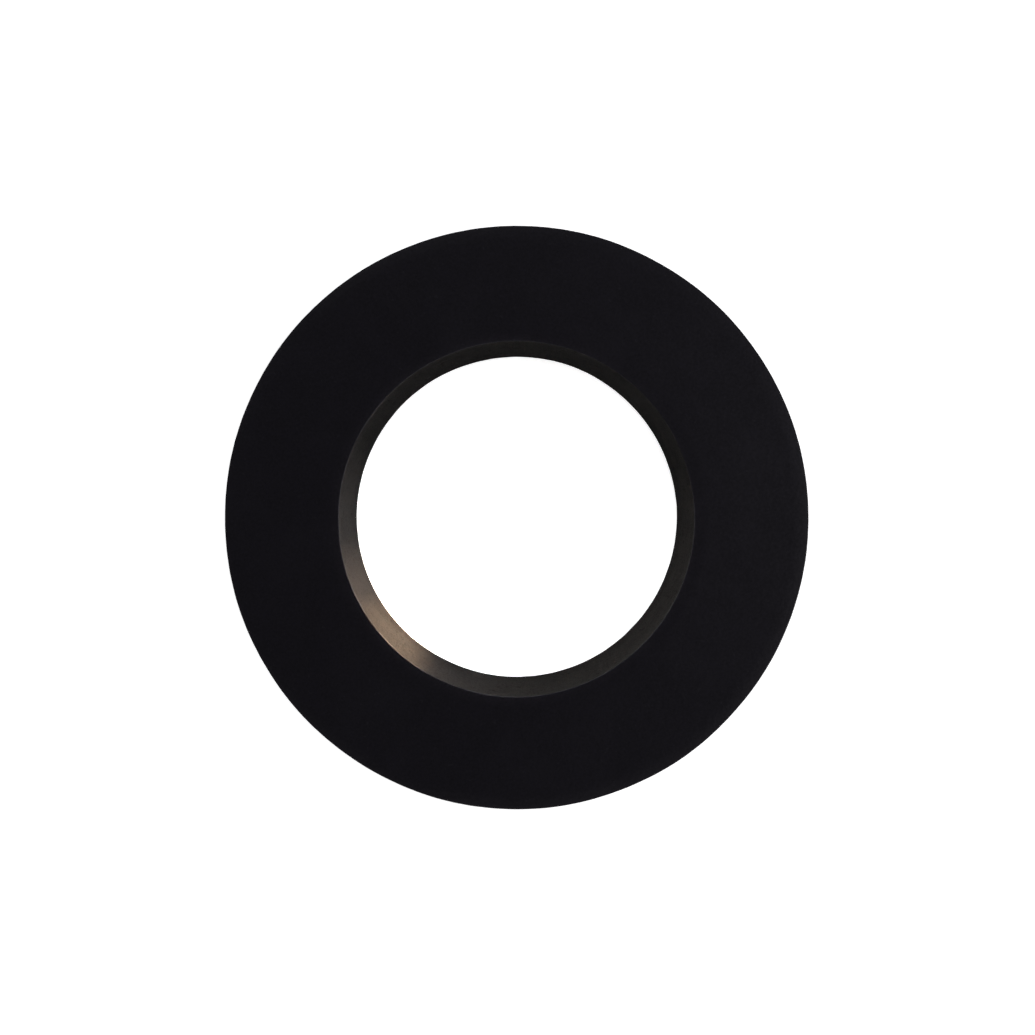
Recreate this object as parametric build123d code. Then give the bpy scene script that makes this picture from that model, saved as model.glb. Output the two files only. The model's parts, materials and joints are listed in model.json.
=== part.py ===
from build123d import *

import os

# The seal between a toilet and its closet flange: one thick ring of closed-cell sponge rubber,
# cut from a moulded slab. The slab's skin is left on the two flat faces, and the bore and the
# outside wall are straight cuts through the foam. It holds nothing inside and has no holes
# other than the bore.
#
# Frame, in millimetres: the ring lies flat on z = 0 with its axis on +Z, and the origin is at
# the centre of the face that rests on the closet flange. Sizes are those of the free ring,
# before the toilet's weight and the closet bolts press it down.

OUTSIDE_DIAMETER = 146.0  # sits inside closet bolts set on 152.4 mm (6 inch) centres
BORE_DIAMETER = 88.9  # 3-1/2 inch waste opening
THICKNESS = 25.4  # 1 inch before it is compressed
EDGE_ROUND = 0.3  # how far the cutter drags each cut edge over

NODE_FOLDER = "parts"


def seal_ring():
    """The free ring: a straight bore in a straight-sided disc, with all four rims rounded."""
    with BuildPart() as ring:
        with BuildSketch():
            Circle(OUTSIDE_DIAMETER / 2)
            Circle(BORE_DIAMETER / 2, mode=Mode.SUBTRACT)
        extrude(amount=THICKNESS)
        fillet(ring.edges().filter_by(GeomType.CIRCLE), EDGE_ROUND)
    return ring.part


os.makedirs(NODE_FOLDER, exist_ok=True)
export_step(seal_ring(), f"{NODE_FOLDER}/seal_ring.step")
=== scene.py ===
import json
import math
import random

import bmesh
import bpy
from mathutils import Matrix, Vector, noise


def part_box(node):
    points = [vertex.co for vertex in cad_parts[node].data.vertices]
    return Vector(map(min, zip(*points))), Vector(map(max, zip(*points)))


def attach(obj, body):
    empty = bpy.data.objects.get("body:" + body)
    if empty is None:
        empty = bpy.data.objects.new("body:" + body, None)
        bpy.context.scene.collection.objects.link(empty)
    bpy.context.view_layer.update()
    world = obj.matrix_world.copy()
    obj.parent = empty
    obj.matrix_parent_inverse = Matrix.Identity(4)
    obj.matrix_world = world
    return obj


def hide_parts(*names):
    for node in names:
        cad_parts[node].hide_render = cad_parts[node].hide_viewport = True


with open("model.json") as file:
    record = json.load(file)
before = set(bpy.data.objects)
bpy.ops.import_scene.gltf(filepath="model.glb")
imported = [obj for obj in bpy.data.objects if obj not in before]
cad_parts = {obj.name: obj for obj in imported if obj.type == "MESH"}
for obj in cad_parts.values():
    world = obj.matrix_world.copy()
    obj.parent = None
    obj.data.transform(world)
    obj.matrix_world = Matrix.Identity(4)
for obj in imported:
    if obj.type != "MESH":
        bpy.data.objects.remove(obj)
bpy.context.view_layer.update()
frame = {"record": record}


# Seal ring. The real one is a single thick ring of closed-cell sponge rubber, cut from a moulded
# slab with two round cutters: the flat faces keep the slab's smooth skin, and the bore and the
# outside wall are cut foam. Nothing is fixed to it; the toilet squeezes it onto the flange.

# The blank: a flat-faced ring whose cut edges are dragged over by a fraction of a millimetre.
ring_low, ring_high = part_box("seal_ring")
bore = next(mount for mount in frame["record"]["mounts"] if mount["name"] == "bore")
thickness = ring_high.z - ring_low.z
outside_radius = ring_high.x
bore_radius = bore["dims"]["r_mm"] / 1000
middle_radius = (bore_radius + outside_radius) / 2
edge_round = (thickness - bore["dims"]["length_mm"] / 1000) / 2
EDGE_SEGMENTS = 4
WALL_ROWS = 44
FACE_ROWS = 8
TURN_STEPS = 720


def cut_section():
    """The ring's cross-section as a closed wire: a rectangle with rounded corners."""
    section = bmesh.new()
    corners = [
        section.verts.new((radius, 0, height))
        for radius, height in (
            (bore_radius, 0),
            (outside_radius, 0),
            (outside_radius, thickness),
            (bore_radius, thickness),
        )
    ]
    for before, after in zip(corners, corners[1:] + corners[:1]):
        section.edges.new((before, after))
    bmesh.ops.bevel(
        section,
        geom=corners,
        offset=edge_round,
        affect="VERTICES",
        segments=EDGE_SEGMENTS,
        profile=0.5,
        material=-1,
    )
    sides = [edge for edge in section.edges if edge.calc_length() > 2 * edge_round]
    for rows, run in ((WALL_ROWS, Vector((0, 0, 1))), (FACE_ROWS, Vector((1, 0, 0)))):
        along = [
            edge
            for edge in sides
            if abs(run.dot(edge.verts[1].co - edge.verts[0].co)) > edge_round
        ]
        bmesh.ops.subdivide_edges(section, edges=along, cuts=rows - 1)
    return section


blank = cut_section()
bmesh.ops.spin(
    blank,
    geom=blank.verts[:] + blank.edges[:],
    cent=(0, 0, 0),
    axis=(0, 0, 1),
    angle=2 * math.pi,
    steps=TURN_STEPS,
    use_merge=True,
)
bmesh.ops.remove_doubles(blank, verts=blank.verts[:], dist=1e-7)
bmesh.ops.recalc_face_normals(blank, faces=blank.faces[:])
blank.normal_update()

# How the soft rubber sits. The cutter squeezes the foam, so each cut wall springs back slightly
# hollow and wanders by a hair; the upper skin is a little uneven, and the largest cells stand
# open as small pits. The face that rests on the floor stays flat.
EDGE_HOLD = 1.4  # how soon the pressing takes full effect beyond a rounded edge
WALL_LIMIT = 0.3  # a point whose normal rises less than this belongs to a wall
WALL_HOLLOW = 0.00022
WALL_WANDER = 0.00014
WANDER_LENGTH = 0.022
WANDER_RISE = 0.35  # how quickly the wander changes upwards, next to sideways
WANDER_SEED = 3
CUTTER_RIPPLE = 0.00004
RIPPLE_LENGTH = 0.0025
RIPPLE_RISE = 0.08
RIPPLE_SEED = 8
SKIN_SWELL = 0.00010
SKIN_WAVES = ((0.030, 5, 1.0), (0.009, 12, 0.45))  # length, seed, share
SKIN_SINK = 0.5  # how far the skin has sunk on the whole, in swells
SEED_STEP = (1, 1.7, 2.3)  # how far each seed moves the noise, in features
PIT_SEED = 7
PIT_COUNT = 420
PIT_WIDTH = (0.0006, 0.0012)
PIT_DEPTH = (0.00011, 0.00028)


def wave(place, length, seed):
    """Smooth noise from -1 to 1 whose features are about length across."""
    return noise.noise(place / length + Vector([seed * step for step in SEED_STEP]))


def into_foam(vertex):
    """The level direction from a wall into the rubber."""
    level = Vector((vertex.co.x, vertex.co.y, 0)).normalized()
    return level if vertex.co.to_2d().length < middle_radius else -level


def press_walls(ring):
    """Hollows the two cut walls, lets them wander and gives them the cutter's fine ripple."""
    for vertex in ring.verts:
        upright = min(1.0, EDGE_HOLD * (1 - abs(vertex.normal.z)))
        if upright == 0:
            continue
        height = 2 * vertex.co.z / thickness - 1
        slow_place = Vector((vertex.co.x, vertex.co.y, WANDER_RISE * vertex.co.z))
        drag_place = Vector((vertex.co.x, vertex.co.y, RIPPLE_RISE * vertex.co.z))
        hollow = WALL_HOLLOW * max(0.0, 1 - height * height)
        wander = WALL_WANDER * wave(slow_place, WANDER_LENGTH, WANDER_SEED)
        ripple = CUTTER_RIPPLE * wave(drag_place, RIPPLE_LENGTH, RIPPLE_SEED)
        vertex.co += into_foam(vertex) * upright * (hollow + wander + ripple)


def press_skin(ring):
    """Lets the upper skin swell and sink a little."""
    for vertex in ring.verts:
        if vertex.normal.z > WALL_LIMIT:
            swell = sum(share * wave(vertex.co, length, seed) for length, seed, share in SKIN_WAVES)
            vertex.co.z += SKIN_SWELL * vertex.normal.z * (swell - SKIN_SINK)


def open_pits(ring):
    """Sinks small round pits where large cells were cut open."""
    dice = random.Random(PIT_SEED)
    walls = [vertex for vertex in ring.verts if abs(vertex.normal.z) < WALL_LIMIT]
    bin_side = 2 * PIT_WIDTH[1]
    bins = {}
    for vertex in walls:
        bins.setdefault(tuple(round(part / bin_side) for part in vertex.co), []).append(vertex)
    for _ in range(PIT_COUNT):
        middle = dice.choice(walls).co.copy()
        width = dice.uniform(*PIT_WIDTH)
        depth = dice.uniform(*PIT_DEPTH)
        home = [round(part / bin_side) for part in middle]
        near = [
            vertex
            for x in (-1, 0, 1)
            for y in (-1, 0, 1)
            for z in (-1, 0, 1)
            for vertex in bins.get((home[0] + x, home[1] + y, home[2] + z), ())
        ]
        for vertex in near:
            share = 1 - (vertex.co - middle).length / width
            if share > 0:
                vertex.co += into_foam(vertex) * depth * share * share * (3 - 2 * share)


press_walls(blank)
press_skin(blank)
open_pits(blank)
blank.normal_update()


class Recipe:
    """A node tree that starts empty, with the few kinds of node that these looks are mixed from."""

    def __init__(self, tree):
        self.tree = tree
        tree.nodes.clear()

    def feed(self, socket, value):
        """Gives a socket a plain value, or joins another node's output to it."""
        if isinstance(value, bpy.types.NodeSocket):
            self.tree.links.new(value, socket)
        else:
            socket.default_value = value

    def node(self, kind, **inputs):
        """A new node with its inputs fed by name."""
        made = self.tree.nodes.new(kind)
        for name, value in inputs.items():
            self.feed(made.inputs[name.replace("_", " ")], value)
        return made

    def maths(self, operation, first, second):
        """Two numbers put together."""
        made = self.tree.nodes.new("ShaderNodeMath")
        made.operation = operation
        self.feed(made.inputs[0], first)
        self.feed(made.inputs[1], second)
        return made.outputs["Value"]

    def weigh(self, *pairs):
        """The sum of several values, each times its weight."""
        total = 0.0
        for value, weight in pairs:
            total = self.maths("ADD", total, self.maths("MULTIPLY", value, weight))
        return total

    def between(self, value, low, high, to_low=0.0, to_high=1.0):
        """A value spread from the range low..high onto to_low..to_high, and held there."""
        made = self.node("ShaderNodeMapRange", Value=value, From_Min=low, From_Max=high)
        made.inputs["To Min"].default_value = to_low
        made.inputs["To Max"].default_value = to_high
        made.clamp = True
        return made.outputs["Result"]

    def blend(self, share, first, second):
        """The first colour where share is 0 and the second where it is 1."""
        made = self.tree.nodes.new("ShaderNodeMix")
        made.data_type = "RGBA"
        live = {socket.name: socket for socket in made.inputs if socket.enabled}
        self.feed(live["Factor"], share)
        self.feed(live["A"], first)
        self.feed(live["B"], second)
        return next(socket for socket in made.outputs if socket.enabled)


class Surface(Recipe):
    """A material's recipe: its shader, and patterns sized in metres on the piece's own places."""

    def __init__(self, name):
        self.material = bpy.data.materials.new(name)
        self.material.use_nodes = True
        super().__init__(self.material.node_tree)
        self.shader = self.tree.nodes.new("ShaderNodeBsdfPrincipled")
        self.node("ShaderNodeOutputMaterial", Surface=self.shader.outputs["BSDF"])
        self.places = self.tree.nodes.new("ShaderNodeTexCoord").outputs["Object"]

    def speckle(self, size, detail=2.0, rough=0.5, stretch=(1, 1, 1)):
        """Noise from 0 to 1 with features about size across, drawn out by stretch."""
        scale = [1 / (size * part) for part in stretch]
        placed = self.node("ShaderNodeMapping", Vector=self.places, Scale=scale).outputs["Vector"]
        made = self.node("ShaderNodeTexNoise", Vector=placed, Scale=1.0, Detail=detail, Roughness=rough)
        return made.outputs["Fac"]

    def pebbles(self, size):
        """Rounded bumps about size across: 0 at the middle of each and highest between them."""
        made = self.node("ShaderNodeTexVoronoi", Vector=self.places, Scale=1 / size)
        made.feature = "SMOOTH_F1"
        return made.outputs["Distance"]

    def mouths(self, size, share, widest, narrow=0.4, lip=0.12, bend=0.9, slow=0.45):
        """1 inside the mouth of an open cell and 0 on the web.

        Cells are about size across and share of them are open. A mouth is narrow * widest to
        widest in half width, in cells, with a soft lip. A slow noise bends the cells out of line.
        """
        sway = self.node("ShaderNodeTexNoise", Vector=self.places, Scale=slow / size, Detail=1.0)
        bent = self.tree.nodes.new("ShaderNodeVectorMath")
        bent.operation = "MULTIPLY_ADD"
        self.feed(bent.inputs[0], sway.outputs["Color"])
        self.feed(bent.inputs[1], [bend * size] * 3)
        self.feed(bent.inputs[2], self.places)
        cell = self.node("ShaderNodeTexVoronoi", Vector=bent.outputs["Vector"], Scale=1 / size)
        chance = self.node("ShaderNodeSeparateColor", Color=cell.outputs["Color"])
        width = self.between(chance.outputs["Green"], 0, 1, narrow * widest, widest)
        inside = self.between(self.maths("SUBTRACT", width, cell.outputs["Distance"]), 0, lip)
        return self.maths("MULTIPLY", inside, self.maths("LESS_THAN", chance.outputs["Red"], share))

    def relief(self, height, strength, depth):
        """Raises and sinks the shading by height times depth."""
        bump = self.node("ShaderNodeBump", Height=height, Strength=strength, Distance=depth)
        self.feed(self.shader.inputs["Normal"], bump.outputs["Normal"])


# Skin: the smooth film that the sponge forms against its mould. Deep, faintly cool black, with a
# fine pebbled grain, a thin dusty bloom in places and a few pale specks.
SKIN_BLACK = (0.0034, 0.0028, 0.0049, 1)
SKIN_LIFTED = (0.0057, 0.0048, 0.0078, 1)
SKIN_BLOOM = (0.0135, 0.0124, 0.0165, 1)
SKIN_GRAIN = 0.0007
SKIN_PEBBLE = 0.0011
SKIN_MOTTLE = 0.007
BLOOM_PATCH = 0.026
BLOOM_SPAN = (0.52, 0.74)
BLOOM_STRENGTH = 0.16
PALE_SPECK = 0.0010
SPECK_SPAN = (0.70, 0.78)
SPECK_STRENGTH = 0.35
TONE_SPAN = (0.38, 0.62)  # the part of 0 to 1 where nearly all of a noise lies
SKIN_ROUGHNESS = (0.70, 0.60)  # where it is black, and where it is lifted
SKIN_SHINE = 0.12
SKIN_RELIEF = 0.00012


def moulded_skin():
    """The material of the two flat faces and of the edges that they bend over."""
    skin = Surface("moulded_skin")
    mottle = skin.speckle(SKIN_MOTTLE, detail=4.0, rough=0.6)
    grain = skin.speckle(SKIN_GRAIN, detail=3.0, rough=0.6)
    bloom = skin.between(skin.speckle(BLOOM_PATCH, detail=5.0, rough=0.62), *BLOOM_SPAN)
    speck = skin.between(skin.speckle(PALE_SPECK, detail=1.0), *SPECK_SPAN)
    tone = skin.weigh((mottle, 0.35), (grain, 0.65))
    black = skin.blend(skin.between(tone, *TONE_SPAN), SKIN_BLACK, SKIN_LIFTED)
    dust = skin.weigh((bloom, BLOOM_STRENGTH), (speck, SPECK_STRENGTH))
    dusty = skin.blend(dust, black, SKIN_BLOOM)
    pebbled = skin.weigh((skin.pebbles(SKIN_PEBBLE), 0.6), (grain, 0.5))
    skin.feed(skin.shader.inputs["Base Color"], dusty)
    skin.feed(skin.shader.inputs["Roughness"], skin.between(tone, *TONE_SPAN, *SKIN_ROUGHNESS))
    skin.shader.inputs["Specular IOR Level"].default_value = SKIN_SHINE
    skin.relief(pebbled, strength=0.35, depth=SKIN_RELIEF)
    return skin.material


# Cut foam: matte, a shade lighter and warmer than the skin, peppered with cell mouths of two
# sizes, sunk by the bump and darkened with painted shade in their hollows, with faint upright
# lines where the cutter dragged and slow changes where it is denser.
FOAM_WEB = (0.0124, 0.0117, 0.0113, 1)
FOAM_DENSE = (0.0078, 0.0074, 0.0073, 1)
# Painted shade: the dark colour that the open cells' mouths take on, standing in for the shade inside
# their hollows.
FOAM_MOUTH_SHADE = (0.0028, 0.0027, 0.0028, 1)
FINE_CELL = 0.00042
FINE_DEPTH = 0.55  # how dark and deep the mouths of the fine cells are
LARGE_CELL = 0.00095
LARGE_DEPTH = 0.9
WEB_GRIT = 0.00035
CUTTER_LINE = 0.0008
LINE_SPAN = (0.48, 0.72)
LINE_STRENGTH = 0.4
# How strongly the painted shade darkens the cell mouths.
MOUTH_SHADE_STRENGTH = 0.85
DENSE_PATCH = 0.009
PATCH_SPAN = (0.35, 0.65)
FOAM_ROUGHNESS = (0.95, 0.85)  # where it is dense, and where it is open
FOAM_SHINE = 0.003
FOAM_RELIEF = 0.00016


def cut_foam():
    """The material of the bore's wall and of the outside wall."""
    foam = Surface("cut_foam")
    fine = foam.mouths(FINE_CELL, share=1.0, widest=0.66)
    large = foam.mouths(LARGE_CELL, share=0.40, widest=0.44)
    drag = foam.speckle(CUTTER_LINE, stretch=(1, 1, 16))
    patch = foam.speckle(DENSE_PATCH, detail=4.0, rough=0.6)
    grit = foam.speckle(WEB_GRIT, rough=0.7)
    fine_shade = foam.maths("MULTIPLY", fine, FINE_DEPTH)
    large_shade = foam.maths("MULTIPLY", large, LARGE_DEPTH)
    mouth = foam.maths("MAXIMUM", fine_shade, large_shade)
    tone = foam.weigh((patch, 0.38), (grit, 0.62))
    web = foam.blend(foam.between(tone, *TONE_SPAN), FOAM_DENSE, FOAM_WEB)
    dragged = foam.blend(foam.between(drag, *LINE_SPAN, 0.0, LINE_STRENGTH), web, FOAM_WEB)
    # Painted shade: the cell mouths are darkened here for the shade that falls inside the open cells.
    colour = foam.blend(foam.maths("MULTIPLY", mouth, MOUTH_SHADE_STRENGTH), dragged, FOAM_MOUTH_SHADE)
    torn = foam.weigh((drag, 0.35), (grit, 0.25), (mouth, -1.0))
    foam.feed(foam.shader.inputs["Base Color"], colour)
    foam.feed(foam.shader.inputs["Roughness"], foam.between(tone, *PATCH_SPAN, *FOAM_ROUGHNESS))
    foam.shader.inputs["Specular IOR Level"].default_value = FOAM_SHINE
    foam.relief(torn, strength=0.7, depth=FOAM_RELIEF)
    return foam.material


SKIN_SLOT, FOAM_SLOT = 0, 1
SKIN_REACH = 0.45  # the skin bends over each edge until its normal rises no more than this
for face in blank.faces:
    face.smooth = True
    face.material_index = SKIN_SLOT if abs(face.normal.z) > SKIN_REACH else FOAM_SLOT
ring_mesh = bpy.data.meshes.new("sponge_seal_ring")
blank.to_mesh(ring_mesh)
blank.free()
ring_mesh.materials.append(moulded_skin())
ring_mesh.materials.append(cut_foam())
seal_ring = bpy.data.objects.new("sponge_seal_ring", ring_mesh)
bpy.context.collection.objects.link(seal_ring)
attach(seal_ring, "root")
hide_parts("seal_ring")


# Light table: the plain white sheet that the ring lies on, glowing evenly from below, so that
# the ground is white right up to the rubber.
TABLE_SIDE = 8.0
TABLE_WHITE = (0.80, 0.80, 0.80, 1)
TABLE_ROUGHNESS = 0.9
TABLE_GLOW = 0.78

sheet = bmesh.new()
bmesh.ops.create_grid(sheet, x_segments=8, y_segments=8, size=TABLE_SIDE / 2)
table_mesh = bpy.data.meshes.new("light_table")
sheet.to_mesh(table_mesh)
sheet.free()
table_white = Surface("table_white")
table_white.shader.inputs["Base Color"].default_value = TABLE_WHITE
table_white.shader.inputs["Roughness"].default_value = TABLE_ROUGHNESS
table_white.shader.inputs["Specular IOR Level"].default_value = 0.0
table_white.shader.inputs["Emission Color"].default_value = (1, 1, 1, 1)
table_white.shader.inputs["Emission Strength"].default_value = TABLE_GLOW
table_mesh.materials.append(table_white.material)
light_table = bpy.data.objects.new("light_table", table_mesh)
bpy.context.collection.objects.link(light_table)


# Studio air: white walls all round, fading to a nearly black ceiling, so that the flat skin,
# which mirrors the ceiling, stays black when it is seen from above.
WALL_WHITE = (1.0, 1.0, 1.0, 1)
CEILING_BLACK = (0.026, 0.026, 0.030, 1)
WALL_TOP = 0.46  # sine of the elevation where the white walls end
CEILING_EDGE = 0.70  # and where the black ceiling begins

world = bpy.data.worlds.new("studio_air")
bpy.context.scene.world = world
world.use_nodes = True
air = Recipe(world.node_tree)
direction = air.tree.nodes.new("ShaderNodeTexCoord").outputs["Generated"]
upward = air.node("ShaderNodeSeparateXYZ", Vector=direction).outputs["Z"]
shade = air.blend(air.between(upward, WALL_TOP, CEILING_EDGE), WALL_WHITE, CEILING_BLACK)
glow = air.node("ShaderNodeBackground", Color=shade, Strength=1.0)
air.node("ShaderNodeOutputWorld", Surface=glow.outputs["Background"])


# Lamps: one softbox above for the skin, three low ones round the table for the outside wall, a
# narrow lamp straight overhead for the ground inside the bore, and a small reflector in the
# middle of the bore, whose overlapping beams make the warm highlight on the bore's wall.
def around(angle, distance, height):
    """A place that far out from the ring's axis, angle degrees round from +X towards +Y."""
    turn = math.radians(angle)
    return Vector((distance * math.cos(turn), distance * math.sin(turn), height))


def lamp(name, kind, place, target, power, colour, tall=1, **settings):
    """A lamp at place, turned to shine at target; tall stretches its beam upright."""
    data = bpy.data.lights.new(name, kind)
    data.energy = power
    data.color = colour
    for key, value in settings.items():
        setattr(data, key, value)
    made = bpy.data.objects.new(name, data)
    made.location = place
    made.rotation_mode = "QUATERNION"
    made.rotation_quaternion = (Vector(target) - Vector(place)).to_track_quat("-Z", "Y")
    made.scale = (1, tall, 1)
    made.visible_camera = False
    bpy.context.collection.objects.link(made)


SOFTBOX_AIM = (0, 0, 0.01)
SOFTBOXES = (  # name, place, watts, colour, width and height
    ("top_softbox", around(14, 0.32, 0.40), 0.60, (0.96, 0.94, 1.0), 0.20, 0.20),
    ("right_softbox", around(-18, 0.90, 0.05), 10.0, (1.0, 0.98, 0.96), 0.40, 0.07),
    ("back_softbox", around(112, 0.90, 0.05), 8.0, (0.97, 0.98, 1.0), 0.40, 0.07),
    ("front_softbox", around(-104, 0.90, 0.022), 6.0, (1.0, 0.98, 0.96), 0.40, 0.03),
)
for name, place, power, colour, wide, high in SOFTBOXES:
    lamp(name, "AREA", place, SOFTBOX_AIM, power, colour, shape="RECTANGLE", size=wide, size_y=high)

SPOT_HEIGHT = 0.80
SPOT_POWER = 7.6
SPOT_REACH = 1.02 * bore_radius  # on the ground; it just clears the upper rim
SPOT_BLEND = 0.10
SPOT_RADIUS = 0.004
lamp(
    "ground_spot",
    "SPOT",
    (0, 0, SPOT_HEIGHT),
    (0, 0, 0),
    SPOT_POWER,
    (1, 1, 1),
    spot_size=2 * math.atan(SPOT_REACH / SPOT_HEIGHT),
    spot_blend=SPOT_BLEND,
    shadow_soft_size=SPOT_RADIUS,
)

REFLECTOR_HEIGHT = 0.60 * thickness
REFLECTOR_RADIUS = 0.002
BEAM_HEIGHT = 0.66 * thickness  # where each beam's middle meets the wall
BEAM_TALL = 2.4
BORE_BEAMS = (  # name, direction in degrees, half width in degrees, watts, colour
    ("bore_glint", 223, 18, 1.14, (1.0, 0.69, 0.40)),
    ("bore_glow", 215, 31, 0.60, (1.0, 0.77, 0.60)),
    ("bore_wash", 213, 64, 0.22, (1.0, 0.96, 0.94)),
    ("bore_spread", 297, 89, 0.065, (1.0, 0.98, 0.92)),
)
for name, direction, half_width, power, colour in BORE_BEAMS:
    lamp(
        name,
        "SPOT",
        (0, 0, REFLECTOR_HEIGHT),
        around(direction, bore_radius, BEAM_HEIGHT),
        power,
        colour,
        tall=BEAM_TALL,
        spot_size=math.radians(2 * half_width),
        spot_blend=1.0,
        shadow_soft_size=REFLECTOR_RADIUS,
    )


# Camera: over the ring and close, so that the bore's far rim looks smaller than its near rim and
# its wall shows all round. It stands a touch towards +Y, and sees a little more of the -Y side.
CAMERA_HEIGHT = 0.2215  # above the upper face
CAMERA_OFF_AXIS = Vector((0.0010, 0.0059))
AIM_OFF_AXIS = Vector((0.0003, 0.0006))
VIEW_WIDTH = 0.2584  # how much of the upper face's plane fits across the view

eye = bpy.data.cameras.new("camera")
eye.sensor_width = 36.0
eye.lens = eye.sensor_width * CAMERA_HEIGHT / VIEW_WIDTH
eye.clip_start = 0.01
eye.clip_end = 30.0
camera = bpy.data.objects.new("camera", eye)
camera.location = (*CAMERA_OFF_AXIS, ring_high.z + CAMERA_HEIGHT)
lean = (CAMERA_OFF_AXIS - AIM_OFF_AXIS) / CAMERA_HEIGHT
camera.rotation_euler = (-math.atan(lean.y), math.atan(lean.x), 0)
bpy.context.collection.objects.link(camera)
bpy.context.scene.camera = camera
bpy.context.scene.view_settings.view_transform = "Standard"
